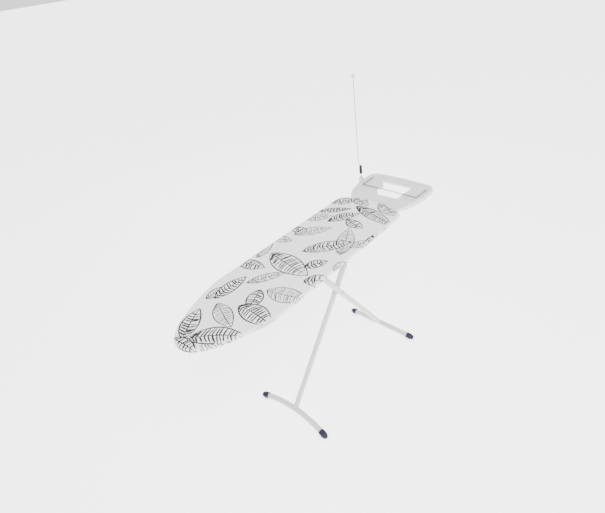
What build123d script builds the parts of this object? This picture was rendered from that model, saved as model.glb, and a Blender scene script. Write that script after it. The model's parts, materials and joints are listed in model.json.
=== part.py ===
"""Folding ironing board with a crossed pair of T-legs, a moulded iron rest and a sprung cord mast.

Millimetres, +Z up, +X towards the iron rest, floor at Z = 0.
The origin is the bottom centre of the overall box.
"""
import os
from math import hypot, radians, sin

from build123d import *

os.makedirs("parts", exist_ok=True)

# ---------------------------------------------------------------- driving dimensions
OVERALL_LENGTH = 1554
BOARD_TOP = 914
BOARD_WIDTH = 380
BOARD_LENGTH = 1256
NOSE_X = -OVERALL_LENGTH / 2
REAR_X = OVERALL_LENGTH / 2
HEEL_X = NOSE_X + BOARD_LENGTH
NOSE_TAPER = 338
NOSE_FULLNESS = 1.168
NOSE_BLUNTNESS = 0.444
HEEL_ARC_RISE = 48
HEEL_CORNER_R = 45

COVER_T = 1.2
PAD_T = 4.8
SHEET_T = 1.0
RIM_DEPTH = 8.8
LAYER_GAP = 0.3
HEM_WIDTH = 36
EDGE_ROUND = 4
EDGE_DEPTH = 17

# legs, in side view: each runs from its foot line to its head axis
HEAD_Z = BOARD_TOP - 45
FOOT_Z = 18.3
LONG_FOOT_X = -322
LONG_HEAD_X = 398
SHORT_FOOT_X = 513
SHORT_HEAD_X = -106
LEG_OFFSET = 16.5
UPPER_TUBE_D = 30
LOWER_TUBE_D = 27
UPPER_BORE = 27.3
LOWER_BORE = 24
SLEEVE_OVERLAP = 60
LONG_SLEEVE_BELOW = 20
SHORT_SLEEVE_BELOW = 36
FOOT_TUBE_D = 30
FOOT_TUBE_BORE = 27
FOOT_HALF = 200
FOOT_RISE = 26
CAP_D = 36
CAP_OVER = 16
CAP_NOSE = 32
CAP_GAP = 0.35

PIVOT_BOLT_D = 8
PIVOT_BORE = 8.2
LONG_BAR_D = 20
LONG_BAR_BORE = 15
LONG_BAR_HALF = 94
HINGE_ROD_D = 10
SHORT_BAR_D = 16
SHORT_BAR_BORE = 13
SHORT_BAR_HALF = 98
ROLLER_D = 24
ROLLER_W = 13

RAIL_Y = 100
RAIL_T = 1.5
RAIL_START = -455
RAIL_END = 70
RAIL_LIP = 19
RAIL_FLOOR = HEAD_Z - 13
RAIL_ROOF = HEAD_Z + 16.5
RAIL_FLANGE = 16

LOCK_ROD_X = 40
LOCK_ROD_Z = 893
LOCK_ROD_D = 8
LOCK_BORE = 8.1
RACK_Y = 60
RACK_T = 3
RACK_PITCH = 30
RACK_STEPS = 5
LOCK_LIFT_SHIFT = 1.9

WALL_Z = BOARD_TOP - EDGE_DEPTH
PANEL_TOP = BOARD_TOP - COVER_T - PAD_T - 2 * LAYER_GAP
PANEL_UNDER = PANEL_TOP - SHEET_T

REST_Z = 892
REST_TOP = 918
REST_FLOOR = 902
REST_SKIN = 4
WINDOW_CORNERS = ((568, -78), (717, -84), (717, 102), (650, 56), (630, 80), (565, 38))
WINDOW_CORNER_R = 5
WINDOW_LIP = 4
WIRE_D = 4
WIRE_FRONT_X = 615
WIRE_REAR_X = 717
WIRE_Y = 167
WIRE_Z = 911

MAST_X = 661
MAST_Y = 213
MAST_STUB_D = 5
COIL_D = 17
COIL_WIRE = 3
COIL_BASE_Z = 946
COIL_TOP_Z = 998
MAST_WIRE_D = 3
MAST_TIP_Z = 1476
MAST_TIP_D = 22

HOOK_X = -560
HOOK_Y = -20
HOOK_Z = 892


def save(piece, name):
    """Label a finished piece and write it to its own STEP file."""
    piece.part.label = name
    export_step(piece.part, f"parts/{name}.step")


# ---------------------------------------------------------------- the plan of the board
def nose_half_width(back, half=BOARD_WIDTH / 2, taper=NOSE_TAPER):
    """Half width of the board at a distance back from the tip of the nose."""
    along = max(0.0, 1 - back / taper)
    return half * (1 - along**NOSE_FULLNESS) ** NOSE_BLUNTNESS


def board_outline(inset=0.0):
    """Plan of the board as a sketch: rounded nose, straight sides, bowed heel."""
    half = BOARD_WIDTH / 2 - inset
    tip = NOSE_X + inset
    heel = HEEL_X - inset
    taper = NOSE_TAPER - inset
    steps = (1, 0.6, 0.3, 0.1, 0.02)
    far_side = [(tip + taper * k, nose_half_width(taper * k, half, taper)) for k in steps]
    near_side = [(x, -y) for x, y in reversed(far_side)]
    corner_x = heel - HEEL_ARC_RISE * (2 * half / BOARD_WIDTH) ** 2
    with BuildSketch() as plan:
        with BuildLine():
            Spline(*far_side, (tip, 0), *near_side, tangents=[(-1, 0), (1, 0)])
            Line(near_side[-1], (corner_x, -half))
            ThreePointArc((corner_x, -half), (heel, 0), (corner_x, half))
            Line((corner_x, half), far_side[0])
        make_face()
        fillet(plan.vertices().group_by(Axis.X)[-1], max(HEEL_CORNER_R - inset, 5))
    return plan.sketch


REST_CORNERS = ((440, 125, 8), (520, 180, 200), (640, 201, 400), (762, 199, 52))
REST_BOW_R = 1000


def rest_outline(inset=0.0):
    """Plan of the iron rest: straight runs with large corner arcs, widest beside the iron."""
    far_side = [(x, y) for x, y, radius in REST_CORNERS]
    near_side = [(x, -y) for x, y in reversed(far_side)]
    radii = [radius for x, y, radius in REST_CORNERS]
    with BuildSketch() as plan:
        with BuildLine():
            all_radii = [*radii, REST_BOW_R, *reversed(radii)]
            FilletPolyline(*far_side, (REAR_X, 0), *near_side, radius=all_radii, close=True)
        make_face()
        if inset:
            offset(amount=-inset, mode=Mode.REPLACE)
    return plan.sketch


BOARD_PLAN = board_outline()
BOARD_IN_COVER = board_outline(COVER_T)
BOARD_PAD = board_outline(COVER_T + LAYER_GAP)
BOARD_RIM_IN = board_outline(COVER_T + LAYER_GAP + SHEET_T)
BOARD_HEM = board_outline(HEM_WIDTH)

# ---------------------------------------------------------------- cover, pad and top panel
with BuildPart() as cover:
    with BuildSketch(Plane.XY.offset(WALL_Z)):
        add(BOARD_PLAN)
    extrude(amount=EDGE_DEPTH)
    with BuildSketch(Plane.XY.offset(WALL_Z + COVER_T)):
        add(BOARD_IN_COVER)
    extrude(amount=EDGE_DEPTH - 2 * COVER_T, mode=Mode.SUBTRACT)
    with BuildSketch(Plane.XY.offset(WALL_Z)):
        add(BOARD_HEM)
    extrude(amount=2 * COVER_T, mode=Mode.SUBTRACT)
save(cover, "cover")

with BuildPart() as pad:
    with BuildSketch(Plane.XY.offset(PANEL_TOP + LAYER_GAP)):
        add(board_outline(EDGE_ROUND))
    extrude(amount=PAD_T)
save(pad, "pad")

HOLE_D = 16
HOLE_PITCH = 40
HOLE_MARGIN = 26
ROW_PITCH = HOLE_PITCH * sin(radians(60))
LAND_ROW = 3


def vent_holes():
    """Centres of the staggered vent holes that keep clear of the rim and of the rail lands."""
    places = []
    for row in range(-4, 5):
        y = row * ROW_PITCH
        if abs(row) == LAND_ROW:
            continue
        for column in range(-19, 12):
            x = (column + (row % 2) / 2) * HOLE_PITCH
            back = x - NOSE_X
            if back < HOLE_MARGIN * 2 or x > HEEL_X - HOLE_MARGIN * 3:
                continue
            if abs(y) + HOLE_MARGIN < nose_half_width(back - HOLE_MARGIN):
                places.append((x, y))
    return places


with BuildPart() as top_panel:
    with BuildSketch(Plane.XY.offset(PANEL_TOP - RIM_DEPTH)):
        add(BOARD_PAD)
    extrude(amount=RIM_DEPTH)
    with BuildSketch(Plane.XY.offset(PANEL_TOP - RIM_DEPTH)):
        add(BOARD_RIM_IN)
    extrude(amount=RIM_DEPTH - SHEET_T, mode=Mode.SUBTRACT)
    with BuildSketch(Plane.XY.offset(PANEL_UNDER)):
        with Locations(*vent_holes()):
            Circle(HOLE_D / 2)
    extrude(amount=SHEET_T, mode=Mode.SUBTRACT)
save(top_panel, "top_panel")

# ---------------------------------------------------------------- stiffening ribs under the panel
RIB_W = 26
RIB_H = 7
RIB_T = 1.2
for name, rib_x, rib_half in (("nose_brace", -520, 150), ("middle_brace", 150, 150)):
    with BuildPart() as brace:
        with BuildSketch(Plane.XZ.offset(-rib_half)):
            with Locations((rib_x, PANEL_UNDER - 0.1)):
                hang = (Align.CENTER, Align.MAX)
                Rectangle(RIB_W, RIB_H, align=hang)
                Rectangle(RIB_W - 2 * RIB_T, RIB_H - RIB_T, align=hang, mode=Mode.SUBTRACT)
        extrude(amount=2 * rib_half)
    save(brace, name)

# ---------------------------------------------------------------- rails for the short leg's head
FLANGE_TOP = PANEL_UNDER - 0.1
RAIL_RIVETS = (-430, -300, -180, -20, 55)
for name, side in (("rail_left", 1), ("rail_right", -1)):
    inner = side * (RAIL_Y - RAIL_LIP + RAIL_T)
    web = side * (RAIL_Y + RAIL_T / 2)
    with BuildPart() as rail:
        with BuildSketch(Plane.YZ.offset(RAIL_START)):
            with Locations((web, RAIL_FLOOR - RAIL_T)):
                Rectangle(RAIL_T, FLANGE_TOP - RAIL_FLOOR + RAIL_T, align=(Align.CENTER, Align.MIN))
            for lip_z in (RAIL_FLOOR - RAIL_T, RAIL_ROOF):
                with Locations(((inner + web) / 2, lip_z)):
                    Rectangle(RAIL_LIP, RAIL_T, align=(Align.CENTER, Align.MIN))
            with Locations((web + side * RAIL_FLANGE / 2, FLANGE_TOP)):
                Rectangle(RAIL_FLANGE, RAIL_T, align=(Align.CENTER, Align.MAX))
        extrude(amount=RAIL_END - RAIL_START)
        with BuildSketch(Plane.XZ):
            with Locations((LOCK_ROD_X, LOCK_ROD_Z)):
                Circle(LOCK_BORE / 2)
        extrude(amount=2 * RAIL_Y, both=True, mode=Mode.SUBTRACT)
    save(rail, name)

# ---------------------------------------------------------------- fixed hinge of the long leg
BRACKET_T = 2
BRACKET_HALF = 22
BRACKET_DROP = 15
BRACKET_FLANGE = 20
HINGE_BORE = 10.1
for name, side in (("hinge_bracket_left", 1), ("hinge_bracket_right", -1)):
    with BuildPart() as bracket:
        with BuildSketch(Plane.XZ.offset(-side * RAIL_Y)):
            with BuildLine():
                Polyline(
                    (LONG_HEAD_X - BRACKET_HALF, FLANGE_TOP),
                    (LONG_HEAD_X - BRACKET_HALF, FLANGE_TOP - 12),
                    (LONG_HEAD_X - BRACKET_DROP, HEAD_Z - BRACKET_DROP),
                    (LONG_HEAD_X + BRACKET_DROP, HEAD_Z - BRACKET_DROP),
                    (LONG_HEAD_X + BRACKET_HALF, FLANGE_TOP - 12),
                    (LONG_HEAD_X + BRACKET_HALF, FLANGE_TOP),
                    close=True,
                )
            make_face()
            with Locations((LONG_HEAD_X, HEAD_Z)):
                Circle(HINGE_BORE / 2, mode=Mode.SUBTRACT)
        extrude(amount=-side * BRACKET_T)
        with BuildSketch(Plane.XY.offset(FLANGE_TOP - BRACKET_T)):
            with Locations((LONG_HEAD_X, side * (RAIL_Y + BRACKET_FLANGE / 2))):
                Rectangle(2 * BRACKET_HALF, BRACKET_FLANGE)
        extrude(amount=BRACKET_T)
        lower_corners = bracket.edges().filter_by(Axis.Y).group_by(Axis.Z)[0]
        fillet(lower_corners, 10)
    save(bracket, name)

ROD_END = RAIL_Y + BRACKET_T + 7
with BuildPart() as hinge_rod:
    with BuildSketch(Plane.XZ.offset(ROD_END)):
        with Locations((LONG_HEAD_X, HEAD_Z)):
            Circle(HINGE_ROD_D / 2)
    extrude(amount=-2 * ROD_END)
    chamfer(hinge_rod.edges().filter_by(GeomType.CIRCLE), 1)
save(hinge_rod, "hinge_rod")

CLIP_D = 18
CLIP_W = 4
with BuildPart() as hinge_rod_clips:
    for side in (1, -1):
        with BuildSketch(Plane.XZ.offset(-side * (RAIL_Y + BRACKET_T + 0.2))):
            with Locations((LONG_HEAD_X, HEAD_Z)):
                Circle(CLIP_D / 2)
                Circle(HINGE_BORE / 2, mode=Mode.SUBTRACT)
        extrude(amount=-side * CLIP_W)
save(hinge_rod_clips, "hinge_rod_clips")

RIVET_D = 5
RIVET_HEAD_H = 1.8
rivet_spots = [(x, s * (RAIL_Y + RAIL_T + RAIL_FLANGE / 2)) for x in RAIL_RIVETS for s in (1, -1)]
rivet_spots += [(LONG_HEAD_X + dx, s * (RAIL_Y + 12)) for dx in (-14, 14) for s in (1, -1)]
with BuildPart() as panel_rivets:
    with BuildSketch(Plane.XY.offset(FLANGE_TOP - BRACKET_T - 0.1)):
        with Locations(*rivet_spots):
            Circle(RIVET_D)
    extrude(amount=-RIVET_HEAD_H)
    fillet(panel_rivets.faces().filter_by(Axis.Z).group_by(Axis.Z)[0].edges(), 1.2)
save(panel_rivets, "panel_rivets")


# ---------------------------------------------------------------- legs
def leg_direction(foot_x, head_x):
    """Unit vector up a leg in side view, from its foot line to its head axis."""
    dx = head_x - foot_x
    dz = HEAD_Z - FOOT_Z
    length = hypot(dx, dz)
    return Vector(dx / length, 0, dz / length), length


LONG_UP, LONG_LENGTH = leg_direction(LONG_FOOT_X, LONG_HEAD_X)
SHORT_UP, SHORT_LENGTH = leg_direction(SHORT_FOOT_X, SHORT_HEAD_X)
LONG_SPREAD = LONG_HEAD_X - LONG_FOOT_X
SHORT_SPREAD = SHORT_FOOT_X - SHORT_HEAD_X
CROSS_SHARE = (SHORT_FOOT_X - LONG_FOOT_X) / (LONG_SPREAD + SHORT_SPREAD)
PIVOT = Vector(LONG_FOOT_X, 0, FOOT_Z) + LONG_UP * (LONG_LENGTH * CROSS_SHARE)


class Leg:
    """Centre line of one leg tube: it leaves the middle of its foot and leans sideways past the other leg."""

    def __init__(self, foot_x, up, length, offset):
        self.up = up
        self.foot = Vector(foot_x, 0, FOOT_Z)
        self.tee = self.foot + up * FOOT_RISE
        self.cross = PIVOT + Vector(0, offset, 0)
        self.axis = (self.cross - self.tee).normalized()
        reach = length - FOOT_RISE
        self.head = self.tee + self.axis * (reach / self.axis.dot(up))

    def tube_plane(self, start):
        """Plane across the tube at a point on it, with the pivot axis as its X direction."""
        return Plane(origin=start, x_dir=(0, 1, 0), z_dir=tuple(self.axis))

    def foot_plane(self):
        """Plane that holds the arched foot: X along the foot, Y up the leg."""
        normal = Vector(0, 1, 0).cross(self.up)
        return Plane(origin=tuple(self.foot), x_dir=(0, 1, 0), z_dir=tuple(normal))


LONG = Leg(LONG_FOOT_X, LONG_UP, LONG_LENGTH, LEG_OFFSET)
SHORT = Leg(SHORT_FOOT_X, SHORT_UP, SHORT_LENGTH, -LEG_OFFSET)
PIVOT_PLANE = Plane(origin=tuple(PIVOT), x_dir=(1, 0, 0), z_dir=(0, -1, 0))


def bar_plane(x, z, y):
    """Plane across a bar that runs along Y, at the given place, facing +Y."""
    return Plane(origin=(x, y, z), x_dir=(1, 0, 0), z_dir=(0, 1, 0))


LEG_WORK = (
    ("long", LONG, LONG_HEAD_X, LONG_BAR_D, LONG_SLEEVE_BELOW),
    ("short", SHORT, SHORT_HEAD_X, SHORT_BAR_D, SHORT_SLEEVE_BELOW),
)
TUBE_CUT = 120
SLIT_LENGTH = 14
SLIT_WIDTH = 5
for name, leg, head_x, bar_d, below in LEG_WORK:
    sleeve_foot = leg.cross - leg.axis * below
    upper_length = (leg.head - sleeve_foot).length
    with BuildPart() as upper:
        with BuildSketch(leg.tube_plane(sleeve_foot)):
            Circle(UPPER_TUBE_D / 2)
            Circle(UPPER_BORE / 2, mode=Mode.SUBTRACT)
        extrude(amount=upper_length)
        with BuildSketch(bar_plane(head_x, HEAD_Z, -TUBE_CUT)):
            Circle(bar_d / 2 + 0.05)
        extrude(amount=2 * TUBE_CUT, mode=Mode.SUBTRACT)
        with BuildSketch(PIVOT_PLANE):
            Circle(PIVOT_BORE / 2)
        extrude(amount=TUBE_CUT, both=True, mode=Mode.SUBTRACT)
        with BuildSketch(leg.tube_plane(sleeve_foot)):
            with Locations((-UPPER_TUBE_D / 2, 0)):
                Rectangle(UPPER_TUBE_D / 2, SLIT_WIDTH)
        extrude(amount=SLIT_LENGTH, mode=Mode.SUBTRACT)
    save(upper, f"{name}_leg_upper")

    tube_top = leg.cross + leg.axis * SLEEVE_OVERLAP
    with BuildPart() as lower:
        with BuildSketch(leg.tube_plane(leg.tee)):
            Circle(LOWER_TUBE_D / 2)
            Circle(LOWER_BORE / 2, mode=Mode.SUBTRACT)
        extrude(amount=(tube_top - leg.tee).length)
        with BuildLine(leg.foot_plane()) as arch:
            ThreePointArc((-FOOT_HALF, 0), (0, FOOT_RISE), (FOOT_HALF, 0))
        with BuildSketch(Plane(origin=arch.line @ 0, z_dir=arch.line % 0)):
            Circle(FOOT_TUBE_D / 2 + 0.05)
        sweep(path=arch.line, mode=Mode.SUBTRACT)
        with BuildSketch(PIVOT_PLANE):
            Circle(PIVOT_BORE / 2)
        extrude(amount=TUBE_CUT, both=True, mode=Mode.SUBTRACT)
    save(lower, f"{name}_leg_lower")

    with BuildPart() as foot:
        with BuildLine(leg.foot_plane()) as arch:
            ThreePointArc((-FOOT_HALF, 0), (0, FOOT_RISE), (FOOT_HALF, 0))
        with BuildSketch(Plane(origin=arch.line @ 0, z_dir=arch.line % 0)):
            Circle(FOOT_TUBE_D / 2)
            Circle(FOOT_TUBE_BORE / 2, mode=Mode.SUBTRACT)
        sweep(path=arch.line)
    save(foot, f"{name}_foot")

    for side, end in (("right", 0), ("left", 1)):
        tip = arch.line @ end
        outward = arch.line % end * (1 if end else -1)
        cap_plane = Plane(origin=tip, x_dir=tuple(leg.foot_plane().z_dir), z_dir=tuple(outward))
        turned = Plane(origin=tip, x_dir=cap_plane.x_dir, z_dir=cap_plane.y_dir * -1)
        with BuildPart() as cap:
            with BuildSketch(turned):
                with BuildLine():
                    lip = (FOOT_TUBE_D / 2 + CAP_GAP, -CAP_OVER)
                    shoulder = (CAP_D / 2 - 0.4, -CAP_OVER + 5)
                    widest = (CAP_D / 2, 4)
                    point = (0, CAP_NOSE)
                    Line(lip, (CAP_D / 2 - 1.6, -CAP_OVER))
                    Line((CAP_D / 2 - 1.6, -CAP_OVER), shoulder)
                    Line(shoulder, widest)
                    Spline(widest, (CAP_D / 2 * 0.8, CAP_NOSE * 0.66), point, tangents=[(0, 1), (-1, 0)])
                    Line(point, (0, 0.3))
                    Line((0, 0.3), (FOOT_TUBE_D / 2 + CAP_GAP, 0.3))
                    Line((FOOT_TUBE_D / 2 + CAP_GAP, 0.3), lip)
                make_face()
            revolve(axis=Axis(tip, outward))
            split(bisect_by=Plane.XY, keep=Keep.TOP)
        save(cap, f"{name}_foot_cap_{side}")

# ---------------------------------------------------------------- head bars and what turns on them
HEAD_BARS = (
    ("long_head_bar", LONG_HEAD_X, LONG_BAR_D, LONG_BAR_BORE, LONG_BAR_HALF),
    ("short_head_bar", SHORT_HEAD_X, SHORT_BAR_D, SHORT_BAR_BORE, SHORT_BAR_HALF),
)
for name, bar_x, bar_d, bore, half in HEAD_BARS:
    with BuildPart() as bar:
        with BuildSketch(bar_plane(bar_x, HEAD_Z, -half)):
            Circle(bar_d / 2)
            Circle(bore / 2, mode=Mode.SUBTRACT)
        extrude(amount=2 * half)
    save(bar, name)

BUSH_DEPTH = 16
BUSH_FLANGE = 2.5
with BuildPart() as long_head_bushes:
    for side in (1, -1):
        seat = side * LONG_BAR_HALF
        with BuildSketch(Plane.XZ.offset(-seat)):
            with Locations((LONG_HEAD_X, HEAD_Z)):
                Circle(LONG_BAR_D / 2)
                Circle(HINGE_BORE / 2, mode=Mode.SUBTRACT)
        extrude(amount=-side * BUSH_FLANGE)
        with BuildSketch(Plane.XZ.offset(-seat)):
            with Locations((LONG_HEAD_X, HEAD_Z)):
                Circle(LONG_BAR_BORE / 2 - 0.05)
                Circle(HINGE_BORE / 2, mode=Mode.SUBTRACT)
        extrude(amount=side * BUSH_DEPTH)
save(long_head_bushes, "long_head_bushes")

with BuildPart() as short_head_rollers:
    for side in (1, -1):
        with BuildSketch(Plane.XZ.offset(-side * SHORT_BAR_HALF)):
            with Locations((SHORT_HEAD_X, HEAD_Z)):
                Circle(ROLLER_D / 2)
                Circle(SHORT_BAR_D / 2 + 0.05, mode=Mode.SUBTRACT)
        extrude(amount=side * ROLLER_W)
save(short_head_rollers, "short_head_rollers")

# ---------------------------------------------------------------- crossing pivot
TUBE_OUT = LEG_OFFSET + UPPER_TUBE_D / 2
WASHER_T = 2
HEAD_GAP = 0.6
BOLT_HEAD_D = 17
BOLT_HEAD_H = 5
NUT_D = 14
NUT_H = 7
with BuildPart() as pivot_bolt:
    with BuildSketch(PIVOT_PLANE.offset(TUBE_OUT + HEAD_GAP)):
        Circle(BOLT_HEAD_D / 2)
    extrude(amount=BOLT_HEAD_H)
    fillet(pivot_bolt.faces().sort_by(Axis.Y)[0].edges(), 3.5)
    with BuildSketch(PIVOT_PLANE.offset(TUBE_OUT + HEAD_GAP)):
        Circle(PIVOT_BOLT_D / 2)
    extrude(amount=-2 * (TUBE_OUT + HEAD_GAP) - NUT_H + 1)
save(pivot_bolt, "pivot_bolt")

with BuildPart() as pivot_nut:
    with BuildSketch(PIVOT_PLANE.offset(-TUBE_OUT - HEAD_GAP)):
        RegularPolygon(NUT_D / 2, 6)
        Circle(PIVOT_BOLT_D / 2 + 0.02, mode=Mode.SUBTRACT)
    extrude(amount=-NUT_H)
    with BuildSketch(PIVOT_PLANE.offset(-TUBE_OUT - HEAD_GAP - NUT_H)):
        Circle(NUT_D / 2 - 1.5)
    extrude(amount=-2)
save(pivot_nut, "pivot_nut")

with BuildPart() as pivot_spacer:
    with BuildSketch(PIVOT_PLANE.offset(-WASHER_T / 2)):
        Circle(11)
        Circle(PIVOT_BORE / 2, mode=Mode.SUBTRACT)
    extrude(amount=WASHER_T)
save(pivot_spacer, "pivot_spacer")

# ---------------------------------------------------------------- height lock
POCKET_R = SHORT_BAR_D / 2 + 0.5
TIP_Z = HEAD_Z - SHORT_BAR_D / 2 - 1.5
RACK_UNDER = TIP_Z - 20
RACK_LAST_X = SHORT_HEAD_X - RACK_PITCH * (RACK_STEPS - 1)
EYE_D = 20
for name, side in (("lock_rack_left", 1), ("lock_rack_right", -1)):
    with BuildPart() as rack:
        with BuildSketch(Plane.XZ.offset(-side * RACK_Y)):
            with BuildLine():
                Polyline(
                    (LOCK_ROD_X + 7, LOCK_ROD_Z - 5),
                    (LOCK_ROD_X - 7, LOCK_ROD_Z + 4),
                    (SHORT_HEAD_X + 40, TIP_Z),
                    (RACK_LAST_X - 16, TIP_Z),
                    (RACK_LAST_X - 16, RACK_UNDER + 6),
                    (RACK_LAST_X - 10, RACK_UNDER),
                    (SHORT_HEAD_X + 50, RACK_UNDER),
                    close=True,
                )
            make_face()
            with Locations((LOCK_ROD_X, LOCK_ROD_Z)):
                Circle(EYE_D / 2)
                Circle(LOCK_BORE / 2, mode=Mode.SUBTRACT)
            for step in range(RACK_STEPS):
                pocket_x = SHORT_HEAD_X + LOCK_LIFT_SHIFT - step * RACK_PITCH
                with Locations((pocket_x, TIP_Z)):
                    Circle(POCKET_R, mode=Mode.SUBTRACT)
        extrude(amount=-side * RACK_T)
    save(rack, name)

LEVER_Y = -140
with BuildPart() as lock_rod:
    with BuildSketch(bar_plane(LOCK_ROD_X, LOCK_ROD_Z, LEVER_Y - 4)):
        Circle(LOCK_ROD_D / 2)
    extrude(amount=RAIL_Y + 8 - LEVER_Y + 4)
    chamfer(lock_rod.edges().filter_by(GeomType.CIRCLE), 0.8)
save(lock_rod, "lock_rod")

LEVER_T = 4
LEVER_END_X = 178
LEVER_DROP = 11
with BuildPart() as lock_lever:
    with BuildSketch(Plane.XZ.offset(-LEVER_Y)):
        with BuildLine():
            Polyline(
                (LOCK_ROD_X, LOCK_ROD_Z + 6),
                (LOCK_ROD_X, LOCK_ROD_Z - 8),
                (LEVER_END_X, LOCK_ROD_Z - LEVER_DROP - 6),
                (LEVER_END_X, LOCK_ROD_Z - LEVER_DROP + 5),
                close=True,
            )
        make_face()
        with Locations((LOCK_ROD_X, LOCK_ROD_Z)):
            Circle(8)
            Circle(LOCK_ROD_D / 2 + 0.02, mode=Mode.SUBTRACT)
    extrude(amount=-LEVER_T)
save(lock_lever, "lock_lever")

GRIP_L = 78
GRIP_W = 22
GRIP_H = 13
with BuildPart() as lock_grip:
    with BuildSketch(Plane.YZ.offset(LEVER_END_X - 26)):
        with Locations((LEVER_Y + LEVER_T / 2, LOCK_ROD_Z - LEVER_DROP - 1)):
            RectangleRounded(GRIP_W, GRIP_H, 5)
    extrude(amount=GRIP_L)
    fillet(lock_grip.faces().sort_by(Axis.X)[-1].edges(), 4)
    with BuildSketch(Plane.XZ.offset(-LEVER_Y + 0.1)):
        with BuildLine():
            Polyline(
                (LEVER_END_X - 30, LOCK_ROD_Z - LEVER_DROP - 9),
                (LEVER_END_X + 0.3, LOCK_ROD_Z - LEVER_DROP - 9),
                (LEVER_END_X + 0.3, LOCK_ROD_Z - LEVER_DROP + 7.5),
                (LEVER_END_X - 30, LOCK_ROD_Z - LEVER_DROP + 7.5),
                close=True,
            )
        make_face()
    extrude(amount=-LEVER_T - 0.2, mode=Mode.SUBTRACT)
save(lock_grip, "lock_grip")

SPRING_D = 15
SPRING_WIRE = 1.6
SPRING_Y0 = -80
SPRING_L = 14
with BuildPart() as lock_spring:
    with BuildSketch(bar_plane(LOCK_ROD_X, LOCK_ROD_Z, SPRING_Y0)):
        Circle(SPRING_D / 2)
        Circle(SPRING_D / 2 - SPRING_WIRE, mode=Mode.SUBTRACT)
    extrude(amount=SPRING_L)
save(lock_spring, "lock_spring")

# ---------------------------------------------------------------- transport hook
HOOK_W = 16
HOOK_T = 5
HOOK_ARM = 75
HOOK_TOE = 26
HOOK_PIN_D = 4
HOOK_BORE = 4.15
with BuildPart() as transport_hook:
    with BuildSketch(Plane.YZ.offset(HOOK_X - HOOK_W / 2)):
        with BuildLine():
            Polyline(
                (HOOK_Y, HOOK_Z + HOOK_T / 2),
                (HOOK_Y - HOOK_ARM, HOOK_Z + HOOK_T / 2),
                (HOOK_Y - HOOK_ARM, HOOK_Z - HOOK_TOE),
                (HOOK_Y - HOOK_ARM + HOOK_T, HOOK_Z - HOOK_TOE),
                (HOOK_Y - HOOK_ARM + HOOK_T + 2, HOOK_Z - HOOK_T / 2),
                (HOOK_Y, HOOK_Z - HOOK_T / 2),
                close=True,
            )
        make_face()
        with Locations((HOOK_Y, HOOK_Z)):
            Circle(5)
            Circle(HOOK_BORE / 2, mode=Mode.SUBTRACT)
    extrude(amount=HOOK_W)
    fillet(transport_hook.edges().filter_by(Axis.X).group_by(Axis.Z)[0], 2)
save(transport_hook, "transport_hook")

with BuildPart() as hook_pin:
    with BuildSketch(Plane.YZ.offset(HOOK_X - HOOK_W / 2 - 6)):
        with Locations((HOOK_Y, HOOK_Z)):
            Circle(HOOK_PIN_D / 2)
    extrude(amount=HOOK_W + 12)
save(hook_pin, "hook_pin")

with BuildPart() as hook_base:
    with BuildSketch(Plane.XY.offset(FLANGE_TOP - 3)):
        with Locations((HOOK_X, HOOK_Y)):
            Rectangle(HOOK_W + 14, 26)
    extrude(amount=3)
    for side in (1, -1):
        ear_x = HOOK_X + side * (HOOK_W / 2 + 0.6)
        with BuildSketch(Plane.YZ.offset(ear_x)):
            with Locations((HOOK_Y, HOOK_Z - 6)):
                Rectangle(13, FLANGE_TOP - HOOK_Z + 5, align=(Align.CENTER, Align.MIN))
            with Locations((HOOK_Y, HOOK_Z)):
                Circle(HOOK_BORE / 2, mode=Mode.SUBTRACT)
        extrude(amount=side * 4)
save(hook_base, "hook_base")

# ---------------------------------------------------------------- iron rest
RIM_W = 24
RECESS_FRONT = 528
BOARD_CLEAR = 2
with BuildPart() as rest_tray:
    with BuildSketch(Plane.XY.offset(REST_Z)):
        add(rest_outline())
    extrude(amount=REST_TOP - REST_Z)
    fillet(rest_tray.faces().sort_by(Axis.Z)[-1].edges(), 6)
    with BuildSketch(Plane.XY.offset(WALL_Z - 0.5)):
        add(board_outline(-BOARD_CLEAR))
    extrude(amount=REST_TOP - WALL_Z + 1, mode=Mode.SUBTRACT)
    with BuildSketch(Plane.XY.offset(REST_FLOOR)):
        add(rest_outline(RIM_W))
        with Locations((RECESS_FRONT, 0)):
            Rectangle(300, 500, align=(Align.MAX, Align.CENTER), mode=Mode.SUBTRACT)
    extrude(amount=REST_TOP - REST_FLOOR, mode=Mode.SUBTRACT)
    with BuildSketch(Plane.XY.offset(REST_Z)):
        add(rest_outline(REST_SKIN))
        with Locations((BOARD_CLEAR + HEEL_X + 14, 0)):
            Rectangle(300, 500, align=(Align.MAX, Align.CENTER), mode=Mode.SUBTRACT)
    extrude(amount=REST_FLOOR - REST_Z - REST_SKIN, mode=Mode.SUBTRACT)
    with BuildSketch(Plane.XY.offset(REST_Z)):
        Polygon(*WINDOW_CORNERS, align=None)
        offset(amount=WINDOW_LIP)
    extrude(amount=REST_FLOOR - REST_Z)
    with BuildSketch(Plane.XY.offset(REST_Z)) as window:
        Polygon(*WINDOW_CORNERS, align=None)
        fillet(window.vertices(), WINDOW_CORNER_R)
    extrude(amount=REST_TOP - REST_Z, mode=Mode.SUBTRACT)
    with BuildSketch(Plane.XY.offset(REST_Z)):
        with Locations((WIRE_REAR_X, WIRE_Y), (WIRE_REAR_X, -WIRE_Y)):
            Circle(WIRE_D / 2 + 0.05)
    extrude(amount=REST_TOP - REST_Z, mode=Mode.SUBTRACT)
save(rest_tray, "rest_tray")

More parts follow.
